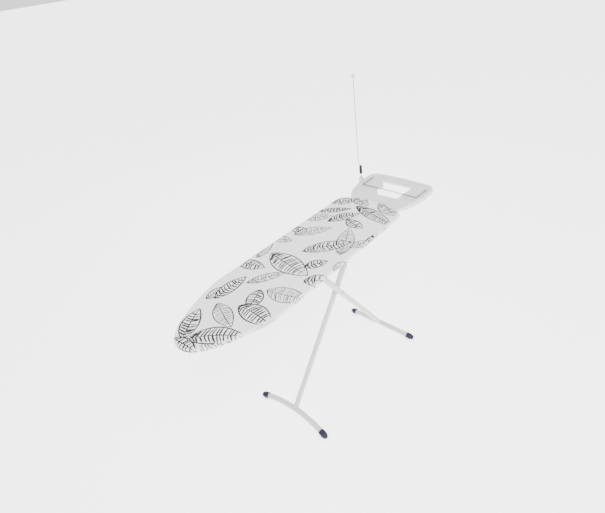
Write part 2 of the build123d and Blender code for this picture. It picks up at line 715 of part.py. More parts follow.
SUPPORT_Y = 70
SUPPORT_W = 25
SUPPORT_T = 4
SUPPORT_TOP = REST_Z - 0.2
SUPPORT_FRONT = 268
SUPPORT_REAR = 528
STEP_X = 312
for name, side in (("rest_support_left", 1), ("rest_support_right", -1)):
    with BuildPart() as support:
        with BuildSketch(Plane.XZ.offset(-side * SUPPORT_Y - SUPPORT_W / 2)):
            with BuildLine():
                Polyline(
                    (SUPPORT_FRONT, FLANGE_TOP),
                    (STEP_X - 10, FLANGE_TOP),
                    (STEP_X + 12, SUPPORT_TOP),
                    (SUPPORT_REAR, SUPPORT_TOP),
                    (SUPPORT_REAR, SUPPORT_TOP - SUPPORT_T),
                    (STEP_X + 9, SUPPORT_TOP - SUPPORT_T),
                    (STEP_X - 13, FLANGE_TOP - SUPPORT_T),
                    (SUPPORT_FRONT, FLANGE_TOP - SUPPORT_T),
                    close=True,
                )
            make_face()
        extrude(amount=SUPPORT_W)
        fillet(support.edges().filter_by(Axis.Z).group_by(Axis.X)[-1], 8)
    save(support, name)

SCREW_HEAD_D = 9
SCREW_HEAD_H = 2.6
REST_SCREW_X = (492, 516)
with BuildPart() as rest_screws:
    for x in REST_SCREW_X:
        for side in (1, -1):
            with BuildSketch(Plane.XY.offset(SUPPORT_TOP - SUPPORT_T - 0.1)):
                with Locations((x, side * SUPPORT_Y)):
                    Circle(SCREW_HEAD_D / 2)
            extrude(amount=-SCREW_HEAD_H)
    fillet(rest_screws.faces().filter_by(Axis.Z).group_by(Axis.Z)[0].edges(), 1.6)
save(rest_screws, "rest_screws")

WIRE_BEND = 5
WIRE_DOWN = REST_FLOOR - 3
with BuildPart() as heel_stop_wire:
    with BuildLine() as route:
        FilletPolyline(
            (WIRE_REAR_X, WIRE_Y, WIRE_DOWN),
            (WIRE_REAR_X, WIRE_Y, WIRE_Z),
            (WIRE_FRONT_X, WIRE_Y, WIRE_Z),
            (WIRE_FRONT_X, -WIRE_Y, WIRE_Z),
            (WIRE_REAR_X, -WIRE_Y, WIRE_Z),
            (WIRE_REAR_X, -WIRE_Y, WIRE_DOWN),
            radius=WIRE_BEND,
        )
    with BuildSketch(Plane(origin=route.line @ 0, z_dir=route.line % 0)):
        Circle(WIRE_D / 2)
    sweep()
save(heel_stop_wire, "heel_stop_wire")

with BuildPart() as wire_sockets:
    for side in (1, -1):
        with BuildSketch(Plane.XY.offset(REST_FLOOR + 0.05)):
            with Locations((WIRE_REAR_X, side * WIRE_Y)):
                Circle(5)
                Circle(WIRE_D / 2 + 0.1, mode=Mode.SUBTRACT)
        extrude(amount=4)
save(wire_sockets, "wire_sockets")

# ---------------------------------------------------------------- cord mast
SOCKET_H = 34
with BuildPart() as mast_socket:
    with BuildSketch(Plane.XY.offset(REST_Z)):
        with Locations((MAST_X, MAST_Y)):
            RectangleRounded(26, 20, 6)
    extrude(amount=SOCKET_H)
    fillet(mast_socket.faces().sort_by(Axis.Z)[-1].edges(), 3)
    with BuildSketch(Plane.XY.offset(REST_Z - 0.1)):
        add(rest_outline(-0.3))
    extrude(amount=REST_TOP - REST_Z + 0.5, mode=Mode.SUBTRACT)
    with BuildSketch(Plane.XY.offset(REST_Z + 6)):
        with Locations((MAST_X, MAST_Y)):
            Circle(MAST_STUB_D / 2 + 0.05)
    extrude(amount=SOCKET_H, mode=Mode.SUBTRACT)
save(mast_socket, "mast_socket")

with BuildPart() as mast_coil:
    with BuildSketch(Plane.XY.offset(REST_Z + 7)):
        with Locations((MAST_X, MAST_Y)):
            Circle(MAST_STUB_D / 2)
    extrude(amount=COIL_BASE_Z + COIL_WIRE - REST_Z - 7)
    with BuildSketch(Plane.XY.offset(COIL_BASE_Z)):
        with Locations((MAST_X, MAST_Y)):
            Circle(COIL_D / 2)
    extrude(amount=COIL_TOP_Z - COIL_BASE_Z)
    with BuildSketch(Plane.XY.offset(COIL_BASE_Z + COIL_WIRE)):
        with Locations((MAST_X, MAST_Y)):
            Circle(COIL_D / 2 - COIL_WIRE)
    extrude(amount=COIL_TOP_Z - COIL_BASE_Z, mode=Mode.SUBTRACT)
save(mast_coil, "mast_coil")

CRANK_FOOT = (MAST_X, MAST_Y, COIL_TOP_Z + 2.2)
CRANK_TOP = (MAST_X - 10, MAST_Y + 7, COIL_TOP_Z + 8)
MAST_TIP = (MAST_X - 18, MAST_Y + 8, MAST_TIP_Z)
with BuildPart() as mast_wire:
    with BuildLine() as route:
        FilletPolyline(CRANK_FOOT, CRANK_TOP, MAST_TIP, radius=5)
    with BuildSketch(Plane(origin=route.line @ 0, z_dir=route.line % 0)):
        Circle(MAST_WIRE_D / 2)
    sweep()
save(mast_wire, "mast_wire")

with BuildPart() as mast_tip:
    with Locations((MAST_TIP[0], MAST_TIP[1], MAST_TIP_Z + 5)):
        Sphere(MAST_TIP_D / 2)
    with BuildSketch(Plane.XY.offset(MAST_TIP_Z - MAST_TIP_D)):
        with Locations(MAST_TIP[:2]):
            Circle(MAST_WIRE_D / 2 + 0.5)
    extrude(amount=MAST_TIP_D + 0.5, mode=Mode.SUBTRACT)
save(mast_tip, "mast_tip")
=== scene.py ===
import json

import bmesh
import bpy
import numpy as np
from mathutils import Matrix, Vector


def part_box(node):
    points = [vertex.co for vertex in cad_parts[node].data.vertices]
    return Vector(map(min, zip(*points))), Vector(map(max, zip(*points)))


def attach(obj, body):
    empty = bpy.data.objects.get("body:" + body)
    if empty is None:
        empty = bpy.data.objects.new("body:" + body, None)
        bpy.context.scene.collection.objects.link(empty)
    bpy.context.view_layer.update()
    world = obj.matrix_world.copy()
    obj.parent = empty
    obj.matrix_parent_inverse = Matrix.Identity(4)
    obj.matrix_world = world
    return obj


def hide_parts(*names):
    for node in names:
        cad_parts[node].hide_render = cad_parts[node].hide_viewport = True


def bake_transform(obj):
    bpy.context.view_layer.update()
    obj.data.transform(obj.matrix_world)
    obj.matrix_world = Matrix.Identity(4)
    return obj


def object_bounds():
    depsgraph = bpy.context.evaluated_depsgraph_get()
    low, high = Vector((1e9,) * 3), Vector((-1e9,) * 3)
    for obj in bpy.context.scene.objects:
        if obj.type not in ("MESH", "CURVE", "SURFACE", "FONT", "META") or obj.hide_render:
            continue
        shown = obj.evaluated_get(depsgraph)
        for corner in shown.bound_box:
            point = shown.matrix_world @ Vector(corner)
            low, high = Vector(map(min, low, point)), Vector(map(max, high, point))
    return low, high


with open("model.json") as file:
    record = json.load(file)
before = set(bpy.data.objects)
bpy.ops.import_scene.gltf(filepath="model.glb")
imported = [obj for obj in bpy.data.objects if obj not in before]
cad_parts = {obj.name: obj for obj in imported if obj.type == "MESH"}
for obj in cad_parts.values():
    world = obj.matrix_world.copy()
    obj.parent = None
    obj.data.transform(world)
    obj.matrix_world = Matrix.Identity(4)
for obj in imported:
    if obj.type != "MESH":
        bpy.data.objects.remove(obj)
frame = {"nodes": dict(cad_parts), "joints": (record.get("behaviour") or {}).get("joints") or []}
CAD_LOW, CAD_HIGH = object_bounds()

# ---------------------------------------------------------------- camera
# It stands off the near side of the nose, well above the ironing surface, and looks down along
# the board towards the iron rest. The head is tipped a few degrees, as a hand-held camera is.
EYE = (-1.2534, -1.1946, 2.0430)
EYE_RIGHT = (0.65586, -0.74601, -0.11541)
EYE_UP = (0.49020, 0.30463, 0.81665)
EYE_BACK = (-0.57407, -0.59218, 0.56548)
LENS_MM = 26.709

camera_data = bpy.data.cameras.new("camera")
camera_data.sensor_fit = "HORIZONTAL"
camera_data.sensor_width = 36
camera_data.lens = LENS_MM
camera = bpy.data.objects.new("camera", camera_data)
camera.matrix_world = Matrix([
    [EYE_RIGHT[i], EYE_UP[i], EYE_BACK[i], EYE[i]] for i in range(3)
] + [[0, 0, 0, 1]])
bpy.context.scene.collection.objects.link(camera)
bpy.context.scene.camera = camera

# ---------------------------------------------------------------- studio
# A plain pale floor under the feet and large soft lights: one key over the near side, one fill
# from the far side, and an even pale surround.


class Value:
    """One shader socket. Arithmetic on it adds Math nodes to the finish it belongs to."""

    def __init__(self, finish, socket):
        self.finish = finish
        self.socket = socket

    def maths(self, operation, *terms):
        return self.finish.add("Math", {"operation": operation}, dict(enumerate(terms)))

    def __add__(self, other):
        return self.maths("ADD", self, other)

    def __mul__(self, other):
        return self.maths("MULTIPLY", self, other)

    def __sub__(self, other):
        return self.maths("SUBTRACT", self, other)

    def __rsub__(self, other):
        return self.maths("SUBTRACT", other, self)

    __radd__ = __add__
    __rmul__ = __mul__


class Finish:
    """A procedural material: one Principled shader, and the nodes that vary it over a surface."""

    def __init__(self, name, **sockets):
        self.material = bpy.data.materials.new(name)
        self.material.use_nodes = True
        self.nodes = self.material.node_tree.nodes
        self.links = self.material.node_tree.links
        self.shader = self.nodes["Principled BSDF"]
        for socket, value in sockets.items():
            self.shader.inputs[socket.replace("_", " ")].default_value = value

    def add(self, kind, settings=None, inputs=None, output=0):
        """Adds a node of a type, sets it up, fills or links its sockets, and returns one output."""
        node = self.nodes.new("ShaderNode" + kind)
        for setting, value in (settings or {}).items():
            setattr(node, setting, value)
        for socket, value in (inputs or {}).items():
            if isinstance(value, Value):
                self.links.new(value.socket, node.inputs[socket])
            else:
                node.inputs[socket].default_value = value
        return Value(self, node.outputs[output])

    def place(self):
        """Object coordinates, in metres."""
        return self.add("TexCoord", output="Object")

    def axis(self, place, letter):
        return self.add("SeparateXYZ", inputs={0: place}, output=letter)

    def noise(self, place, grain, detail=2.0, rough=0.5):
        """Noise from 0 to 1 whose lumps are about grain metres across."""
        sizes = {"Vector": place, "Scale": 1 / grain, "Detail": detail, "Roughness": rough}
        return self.add("TexNoise", inputs=sizes)

    def mix(self, factor, low, high):
        """Colour from low to high as the factor goes from 0 to 1."""
        return self.add("Mix", {"data_type": "RGBA"}, {0: factor, 6: low, 7: high}, 2)

    def bump(self, height, depth, strength=1.0):
        sizes = {"Height": height, "Distance": depth, "Strength": strength}
        return self.add("Bump", inputs=sizes)

    def feed(self, socket, value):
        self.links.new(value.socket, self.shader.inputs[socket])


def coat(piece, finish):
    """Gives a piece one finish all over."""
    piece.data.materials.clear()
    piece.data.materials.append(finish.material)


FLOOR_HALF = 60.0
floor_mesh = bpy.data.meshes.new("floor")
floor_corners = [(x * FLOOR_HALF, y * FLOOR_HALF, -0.0005) for x, y in ((-1, -1), (1, -1), (1, 1), (-1, 1))]
floor_mesh.from_pydata(floor_corners, [], [(0, 1, 2, 3)])
floor = bpy.data.objects.new("floor", floor_mesh)
bpy.context.scene.collection.objects.link(floor)
coat(floor, Finish("pale_floor", Base_Color=(0.9, 0.9, 0.9, 1), Roughness=0.9,
                   Emission_Color=(1, 1, 1, 1), Emission_Strength=2.6))

world = bpy.data.worlds.new("studio")
bpy.context.scene.world = world
world.use_nodes = True
world.node_tree.nodes["Background"].inputs["Color"].default_value = (1, 1, 1, 1)
world.node_tree.nodes["Background"].inputs["Strength"].default_value = 1.5


def soft_light(name, place, aim, size, watts):
    """A square area light that faces a point."""
    data = bpy.data.lights.new(name, "AREA")
    data.size = size
    data.energy = watts
    light = bpy.data.objects.new(name, data)
    towards = Vector(aim) - Vector(place)
    light.rotation_euler = towards.to_track_quat("-Z", "Y").to_euler()
    light.location = place
    bpy.context.scene.collection.objects.link(light)


soft_light("key", (-1.2, -2.2, 3.6), (0, 0, 0.8), 1.8, 210)
soft_light("fill", (1.8, 2.6, 2.8), (0.1, 0, 0.7), 2.6, 60)

# ---------------------------------------------------------------- cover
# The cover is one piece of printed cotton, pulled over the pad and round the edge of the board,
# and gathered under it by a cord in a sewn hem. It is tight on top and puckers towards the hem.
cover_low, cover_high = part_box("cover")
NOSE = cover_low.x
HEEL = cover_high.x
HALF = cover_high.y
TOP = cover_high.z
TAPER = 0.338
FULLNESS = 1.168
BLUNTNESS = 0.444
HEEL_BOW_R = 0.400
CORNER_R = 0.045
ROUND_R = 0.008
UNDER_R = 0.003
EDGE_DEPTH = 0.017
HEM = 0.034
CLOTH = 0.001
CALM = 0.02
PUCKER_PITCH = 0.031
SIDE_PUCKER = 0.0012
UNDER_PUCKER = 0.0011
SIDE_END = ROUND_R * np.pi / 2 + EDGE_DEPTH - ROUND_R - UNDER_R
UNDER_END = SIDE_END + UNDER_R * np.pi / 2


def board_edge(count):
    """Plan of the board as evenly spaced points, with the outward direction at each.

    From the tip the half width is HALF (1 - a^FULLNESS)^BLUNTNESS, where a falls from 1 to 0 over
    the taper. Straight sides follow, then corner arcs and a bowed heel of radius HEEL_BOW_R.
    """
    turn = np.linspace(0, np.pi / 2, 400)
    back = 1 - np.cos(turn) ** (2 / FULLNESS)
    nose = np.stack([NOSE + TAPER * back, HALF * np.sin(turn) ** (2 * BLUNTNESS)], 1)
    bow_x = HEEL - HEEL_BOW_R
    corner_y = HALF - CORNER_R
    corner_x = bow_x + np.sqrt((HEEL_BOW_R - CORNER_R) ** 2 - corner_y**2)
    end = np.arctan2(corner_y, corner_x - bow_x)
    arc = np.linspace(np.pi / 2, end, 60)
    corner = np.stack([corner_x + CORNER_R * np.cos(arc), corner_y + CORNER_R * np.sin(arc)], 1)
    bow = np.linspace(end, 0, 120)
    heel = np.stack([bow_x + HEEL_BOW_R * np.cos(bow), HEEL_BOW_R * np.sin(bow)], 1)
    far = np.concatenate([nose, corner, heel[1:]])
    loop = np.concatenate([far, far[-2:0:-1] * (1, -1), far[:1]])
    walked = np.concatenate([[0], np.cumsum(np.linalg.norm(np.diff(loop, axis=0), axis=1))])
    even = np.linspace(0, walked[-1], count, endpoint=False)
    points = np.stack([np.interp(even, walked, loop[:, i]) for i in (0, 1)], 1)
    along = np.roll(points, -1, 0) - np.roll(points, 1, 0)
    out = np.stack([-along[:, 1], along[:, 0]], 1)
    return points, out / np.linalg.norm(out, axis=1, keepdims=True), even


EDGE, EDGE_OUT, EDGE_WALK = board_edge(960)


def slack(x, y):
    """Slow swells of the tight cloth over the felt: three crossed waves, under half a millimetre."""
    swell = np.sin(23 * x + 9 * y + 0.6) * np.sin(17 * y - 6 * x)
    ripple = 0.5 * np.sin(61 * x - 34 * y + 1.9) * np.cos(9 * x + 2.2)
    return 0.00035 * (swell + ripple) - 0.0004


def over_edge(foot, out, walk, past, lift=0.0):
    """Cloth points from their place on the flat cut.

    A point lies at a distance past the foot on the plan's edge, against the outward direction if
    negative. Up to ROUND_R inside the edge the cloth is flat on top. Then it goes round an arc of
    ROUND_R, down the side, round UNDER_R and in along the underside, puckered by short waves.
    """
    s = past + ROUND_R
    turn = np.clip(s / ROUND_R, 0, np.pi / 2)
    under = np.clip((s - SIDE_END) / UNDER_R, 0, np.pi / 2)
    down = np.clip(s - ROUND_R * np.pi / 2, 0, EDGE_DEPTH - ROUND_R - UNDER_R)
    inward = np.maximum(s - UNDER_END, 0)
    wave = np.sin(walk * 2 * np.pi / PUCKER_PITCH + 2.1 * np.sin(walk * 9))
    pucker = wave * (0.6 + 0.4 * np.sin(walk * 23))
    grow = np.clip(s / (SIDE_END + HEM), 0, 1) ** 1.5
    r_top = ROUND_R + lift
    r_under = UNDER_R + lift
    aside = np.minimum(s, 0) - ROUND_R + r_top * np.sin(turn) - r_under * (1 - np.cos(under)) - inward
    aside = aside + grow * SIDE_PUCKER * pucker * (inward <= 0)
    z = TOP - ROUND_R + r_top * np.cos(turn) - down - r_under * np.sin(under)
    plan = foot + out * aside[:, None]
    soft = np.clip(-s / CALM, 0, 1) * slack(plan[:, 0], plan[:, 1])
    z = z + soft + grow * UNDER_PUCKER * pucker * (inward > 0)
    return np.column_stack([plan, z])


def surface(name, loops, closed_ends=False):
    """A mesh from closed loops of points, each joined to the next, with its double points merged."""
    loops = np.asarray(loops, float)
    m, n = loops.shape[:2]
    a, b = np.meshgrid(np.arange(m if closed_ends else m - 1), np.arange(n), indexing="ij")
    a2, b2 = (a + 1) % m, (b + 1) % n
    quads = np.stack([a * n + b2, a2 * n + b2, a2 * n + b, a * n + b], -1).reshape(-1, 4)
    return mesh_piece(name, loops.reshape(-1, 3), quads)


def mesh_piece(name, points, faces, merge=0.000005):
    """An object from points and faces, smooth shaded, its double points and flat faces removed."""
    data = bpy.data.meshes.new(name)
    data.from_pydata(points.tolist(), [], faces.tolist())
    work = bmesh.new()
    work.from_mesh(data)
    bmesh.ops.remove_doubles(work, verts=work.verts, dist=merge)
    bmesh.ops.dissolve_degenerate(work, edges=work.edges, dist=merge)
    work.to_mesh(data)
    work.free()
    data.shade_smooth()
    piece = bpy.data.objects.new(name, data)
    bpy.context.scene.collection.objects.link(piece)
    return piece


def modifier(piece, kind, **settings):
    made = piece.modifiers.new(kind.lower(), kind)
    for setting, value in settings.items():
        setattr(made, setting, value)


SPINE_NOSE = NOSE + 0.16
SPINE_HEEL = HEEL - 0.14
spine = np.stack([np.clip(EDGE[:, 0], SPINE_NOSE, SPINE_HEEL), np.zeros(len(EDGE))], 1)
reach = np.linalg.norm(EDGE - spine, axis=1)
every = slice(None, None, 2)
cover_rows = []
for share in np.linspace(0, 1, 22):
    flat = spine[every] + (EDGE - EDGE_OUT * ROUND_R - spine)[every] * share
    z = TOP + slack(flat[:, 0], flat[:, 1]) * np.clip((1 - share) * reach[every] / CALM, 0, 1)
    cover_rows.append(np.column_stack([flat, z]))
for s in np.concatenate([
    np.linspace(0, ROUND_R * np.pi / 2, 10)[1:],
    np.linspace(ROUND_R * np.pi / 2, SIDE_END, 4)[1:],
    np.linspace(SIDE_END, UNDER_END, 5)[1:],
    np.linspace(UNDER_END, UNDER_END + HEM, 9)[1:],
]):
    past = np.full(len(EDGE[every]), s - ROUND_R)
    cover_rows.append(over_edge(EDGE[every], EDGE_OUT[every], EDGE_WALK[every], past))
cover = surface("cover_cloth", cover_rows)
modifier(cover, "SOLIDIFY", thickness=CLOTH, offset=-1)

cotton = Finish("printed_cotton", Sheen_Weight=0.15, Sheen_Roughness=0.5, Specular_IOR_Level=0.25)
cloth_place = cotton.place()
THREAD = 2 * np.pi / 0.0008
warp = (cotton.axis(cloth_place, "X") * THREAD).maths("SINE")
weft = (cotton.axis(cloth_place, "Y") * THREAD).maths("SINE")
weave = warp * weft * 0.5 + 0.5
slub = cotton.noise(cloth_place, 0.004, 4)
wash = cotton.noise(cloth_place, 0.11, 3)
cloth_tone = wash * 0.7 + slub * 0.3
cotton.feed("Base Color", cotton.mix(cloth_tone, (0.76, 0.76, 0.755, 1), (0.84, 0.84, 0.835, 1)))
cotton.feed("Roughness", slub * 0.1 + 0.8)
cotton.feed("Normal", cotton.bump(weave * 0.5 + slub * 0.5, 0.00018, 0.35))
coat(cover, cotton)
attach(cover, "board")
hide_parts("cover")

# ---------------------------------------------------------------- leaf print
# Large leaves drawn with a brush pen and screen printed in dark grey, some lying over others and
# some cut by the edge. The ink lies on the threads as a thin film and follows them over the edge.
INK = 0.00012
EDGE_PEN = 0.0052
MIDRIB_PEN = 0.0042
BRUSH = np.random.default_rng(11)


class Leaf:
    """A leaf on the flat cloth, from its stem to its tip, with a half width and a bend, in metres.

    At a share u of its length its middle is off the axis by 4 bend u (1 - u), and its half width is
    spread sin(pi u^0.9)^0.8. Bold leaves have broad veins, and fine ones thin, closer veins.
    """

    def __init__(self, stem, tip, spread, bend=0.0, bold=True):
        self.stem = np.array(stem)
        self.along = np.array(tip) - self.stem
        self.length = np.linalg.norm(self.along)
        self.along = self.along / self.length
        self.across = np.array([-self.along[1], self.along[0]])
        self.spread, self.bend, self.bold = spread, bend, bold

    def middle(self, u):
        return 4 * self.bend * u * (1 - u)

    def half(self, u):
        return self.spread * np.sin(np.pi * np.clip(u, 0, 1) ** 0.9) ** 0.8

    def flat(self, u, v):
        """Cloth points from shares of the length and distances off the axis."""
        return self.stem + u[..., None] * self.length * self.along + v[..., None] * self.across

    def covers(self, points):
        """Which points lie inside the leaf."""
        off = points - self.stem
        u, v = off @ self.along / self.length, off @ self.across
        return (u > 0) & (u < 1) & (np.abs(v - self.middle(u)) < self.half(u))

    def outline(self):
        """Both sides and the midrib: centre points and pen widths, one row for each."""
        u = np.linspace(0, 1, 34)
        lines, pens = [], []
        for side in (-1, 1, 0):
            lines.append(self.flat(u, self.middle(u) + side * self.half(u)))
            swell = 0.6 + 0.4 * np.sin(np.pi * u + BRUSH.uniform(-0.6, 0.6))
            pen = EDGE_PEN if side else MIDRIB_PEN
            pens.append(swell * pen * (1.25 if self.bold else 0.95))
        return np.array(lines), np.array(pens)

    def veins(self):
        """Side veins that leave the midrib and sweep forward to the edge, thick in the middle."""
        pitch, vein_pen = (0.0165, 0.0070) if self.bold else (0.0125, 0.0040)
        count = max(4, int(self.length / pitch))
        t = np.linspace(0, 1, 12)
        lines, pens = [], []
        for side in (-1, 1):
            start = 0.03 + 0.86 * (np.arange(count) + BRUSH.uniform(-0.25, 0.25, count)) / count
            sweep = BRUSH.uniform(0.05, 0.11, count) * (1.15 - start)
            u = start[:, None] + sweep[:, None] * t**1.5
            run = BRUSH.uniform(0.84, 0.98, count)[:, None] * t
            lines.append(self.flat(u, self.middle(u) + side * run * self.half(u)))
            thick = BRUSH.uniform(0.75, 1.25, count)[:, None] * vein_pen
            pens.append(thick * (0.35 + 0.65 * np.sin(np.pi * np.clip(t * 0.9 + 0.1, 0, 1)) ** 0.7))
        return np.concatenate(lines), np.concatenate(pens)


LEAVES = [
    Leaf((-0.745, 0.020), (-0.600, 0.102), 0.036, 0.004),
    Leaf((-0.765, 0.055), (-0.757, -0.075), 0.026, 0.004),
    Leaf((-0.760, -0.105), (-0.625, -0.105), 0.034, 0.010, False),
    Leaf((-0.735, 0.005), (-0.600, -0.170), 0.042, 0.014),
    Leaf((-0.537, 0.066), (-0.597, -0.086), 0.037, -0.003, False),
    Leaf((-0.625, 0.158), (-0.500, 0.196), 0.018, 0.000),
    Leaf((-0.545, 0.130), (-0.440, 0.112), 0.024, 0.004, False),
    Leaf((-0.525, 0.100), (-0.350, 0.097), 0.031, 0.004),
    Leaf((-0.380, -0.020), (-0.490, -0.062), 0.033, 0.002),
    Leaf((-0.498, -0.020), (-0.505, -0.205), 0.046, 0.008),
    Leaf((-0.366, -0.045), (-0.315, -0.220), 0.044, -0.006, False),
    Leaf((-0.380, 0.064), (-0.235, -0.030), 0.024, 0.003, False),
    Leaf((-0.295, 0.215), (-0.262, 0.074), 0.032, 0.002),
    Leaf((-0.225, 0.160), (-0.085, 0.198), 0.030, 0.004, False),
    Leaf((-0.163, 0.130), (-0.200, -0.122), 0.056, -0.004),
    Leaf((-0.165, -0.072), (-0.075, -0.130), 0.026, 0.003),
    Leaf((-0.240, -0.136), (-0.160, -0.222), 0.036, -0.002),
    Leaf((-0.110, -0.186), (-0.020, -0.212), 0.022, 0.000, False),
    Leaf((-0.010, -0.146), (0.192, -0.048), 0.040, -0.004, False),
    Leaf((-0.076, 0.018), (0.100, -0.128), 0.038, 0.003),
    Leaf((-0.070, 0.205), (-0.032, 0.120), 0.026, 0.002, False),
    Leaf((0.052, 0.200), (0.060, 0.090), 0.027, 0.000),
    Leaf((0.010, 0.146), (0.152, 0.028), 0.031, 0.003, False),
    Leaf((0.060, -0.152), (0.155, -0.195), 0.024, 0.002, False),
    Leaf((0.085, -0.215), (0.225, -0.190), 0.021, 0.004),
    Leaf((0.150, 0.195), (0.245, 0.098), 0.032, 0.003, False),
    Leaf((0.240, 0.190), (0.350, 0.055), 0.021, 0.002),
    Leaf((0.252, 0.010), (0.222, -0.106), 0.030, -0.004),
    Leaf((0.190, 0.082), (0.330, -0.010), 0.031, 0.010),
    Leaf((0.350, 0.192), (0.445, 0.088), 0.029, -0.002),
    Leaf((0.478, 0.108), (0.420, 0.000), 0.032, -0.012),
    Leaf((0.478, -0.040), (0.395, -0.165), 0.045, 0.006),
    Leaf((0.385, 0.048), (0.312, -0.208), 0.037, 0.004),
    Leaf((0.255, -0.200), (0.300, -0.225), 0.020, 0.000, False),
]


def on_cloth(flat, lift):
    """Cloth places of flat points: each is measured from the nearest point of the board's edge."""
    near = np.concatenate([
        np.argmin(((part[:, None] - EDGE[None]) ** 2).sum(2), 1)
        for part in np.array_split(flat, max(1, len(flat) // 4000))
    ])
    past = ((flat - EDGE[near]) * EDGE_OUT[near]).sum(1)
    wrapped = over_edge(EDGE[near], EDGE_OUT[near], EDGE_WALK[near], past, lift)
    inside = past < -ROUND_R
    wrapped[inside, :2] = flat[inside]
    swell = slack(flat[:, 0], flat[:, 1]) * np.clip((-past - ROUND_R) / CALM, 0, 1)
    wrapped[inside, 2] = TOP + lift + swell[inside]
    return wrapped, past


def print_strokes(name, strokes):
    """Inked strokes as thin ribbons on the cloth.

    strokes holds, for each leaf, its centre lines and pen widths. Each line is widened to both
    sides by half the pen, laid on the cloth, and cut where a later leaf lies over it.
    """
    points, quads, used = [], [], 0
    for rank, (lines, pens) in enumerate(strokes):
        along = np.gradient(lines, axis=1)
        along = along / np.maximum(np.linalg.norm(along, axis=2, keepdims=True), 1e-9)
        aside = np.stack([-along[..., 1], along[..., 0]], -1) * pens[..., None] / 2
        sides = np.stack([lines - aside, lines + aside], 2)
        count, steps = lines.shape[:2]
        laid, past = on_cloth(sides.reshape(-1, 2), INK)
        first = np.arange(count)[:, None] * steps * 2 + np.arange(steps - 1)[None] * 2
        faces = np.stack([first, first + 2, first + 3, first + 1], -1).reshape(-1, 4)
        centre = (lines[:, 1:] + lines[:, :-1]).reshape(-1, 2) / 2
        keep = past[faces].max(1) < HEM
        for later in LEAVES[rank + 1:]:
            keep &= ~later.covers(centre)
        points.append(laid)
        quads.append(faces[keep] + used)
        used += len(laid)
    piece = mesh_piece(name, np.concatenate(points), np.concatenate(quads), 1e-7)
    modifier(piece, "SOLIDIFY", thickness=INK * 0.6, offset=-1)
    coat(piece, ink)
    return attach(piece, "board")


ink = Finish("screen_ink", Specular_IOR_Level=0.3)
ink_place = ink.place()
cover_share = ink.noise(ink_place, 0.0018, 3)
fade = ink.noise(ink_place, 0.03, 2)
ink_tone = cover_share * 0.5 + fade * 0.5
ink.feed("Base Color", ink.mix(ink_tone, (0.006, 0.006, 0.0065, 1), (0.022, 0.022, 0.023, 1)))
ink.feed("Roughness", cover_share * 0.15 + 0.6)
ink.feed("Normal", ink.bump(cover_share, 0.00005, 0.4))
outline_print = print_strokes("leaf_print_outlines", [leaf.outline() for leaf in LEAVES])
vein_print = print_strokes("leaf_print_veins", [leaf.veins() for leaf in LEAVES])

# ---------------------------------------------------------------- hem and drawcord
# The cover's raw edge is folded over a thin polyester cord and sewn down, so that the hem is a
# soft tube under the board, drawn in by the cord.
TUBE_R = 0.0026


def tube(name, centre, radius, sides=10, closed=True):
    """A round tube along a path: at each point a ring across the path, turned to lie level."""
    centre = np.asarray(centre, float)
    if closed:
        along = np.roll(centre, -1, 0) - np.roll(centre, 1, 0)
    else:
        along = np.gradient(centre, axis=0)
    along /= np.linalg.norm(along, axis=1, keepdims=True)
    level = np.cross(along, (0, 0, 1))
    steep = np.linalg.norm(level, axis=1) < 1e-3
    level[steep] = np.cross(along[steep], (1, 0, 0))
    level /= np.linalg.norm(level, axis=1, keepdims=True)
    up = np.cross(level, along)
    turn = np.linspace(0, 2 * np.pi, sides, endpoint=False)
    radius = np.broadcast_to(radius, len(centre))[:, None, None]
    ring = level[:, None] * np.cos(turn)[:, None] + up[:, None] * np.sin(turn)[:, None]
    rows = centre[:, None] + ring * radius
    if not closed:
        ends = [np.repeat(centre[i][None], sides, 0)[None] for i in (0, -1)]
        rows = np.concatenate([ends[0], rows, ends[1]])
    return surface(name, rows, closed_ends=closed)


hem_past = np.full(480, UNDER_END - ROUND_R + HEM)
hem_line = over_edge(EDGE[every], EDGE_OUT[every], EDGE_WALK[every], hem_past)
hem_line[:, 2] += 0.001 - TUBE_R * 0.2
gather = 1 + 0.22 * np.sin(EDGE_WALK[every] * 2 * np.pi / 0.0147)
hem_tube = tube("cover_hem", hem_line, TUBE_R * gather, 10)
coat(hem_tube, cotton)
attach(hem_tube, "board")

# ---------------------------------------------------------------- felt pad
# Needled felt between the cover and the steel top, cut to the board's plan and laid loose. Its
# edge is cut square and pressed a little round by the tight cover.
pad_low, pad_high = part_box("pad")
PAD_INSET = 0.005
PAD_ROUND = 0.0015
pad_edge = EDGE[every] - EDGE_OUT[every] * PAD_INSET
pad_spine = spine[every]
pad_rows = []
for share in np.linspace(0, 1, 12):
    flat = pad_spine + (pad_edge - EDGE_OUT[every] * PAD_ROUND - pad_spine) * share
    pad_rows.append(np.column_stack([flat, np.full(len(flat), pad_high.z - 0.0008)]))
for turn in np.linspace(0, np.pi, 9):
    flat = pad_edge - EDGE_OUT[every] * PAD_ROUND * (1 - np.sin(turn))
    z = (pad_low.z + pad_high.z) / 2 + np.cos(turn) * (pad_high.z - pad_low.z - 0.0012) / 2
    pad_rows.append(np.column_stack([flat, np.full(len(flat), z)]))
for share in np.linspace(1, 0, 12):
    flat = pad_spine + (pad_edge - EDGE_OUT[every] * PAD_ROUND - pad_spine) * share
    pad_rows.append(np.column_stack([flat, np.full(len(flat), pad_low.z + 0.0004)]))
felt_pad = surface("felt_pad", pad_rows)
felt = Finish("needled_felt", Specular_IOR_Level=0.1)
felt_place = felt.place()
fibre = felt.noise(felt_place, 0.0015, 6, 0.7)
felt.feed("Base Color", felt.mix(fibre, (0.42, 0.42, 0.41, 1), (0.62, 0.62, 0.60, 1)))
felt.feed("Roughness", fibre * 0.1 + 0.88)
felt.feed("Normal", felt.bump(fibre, 0.0006, 0.6))
coat(felt_pad, felt)
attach(felt_pad, "board")
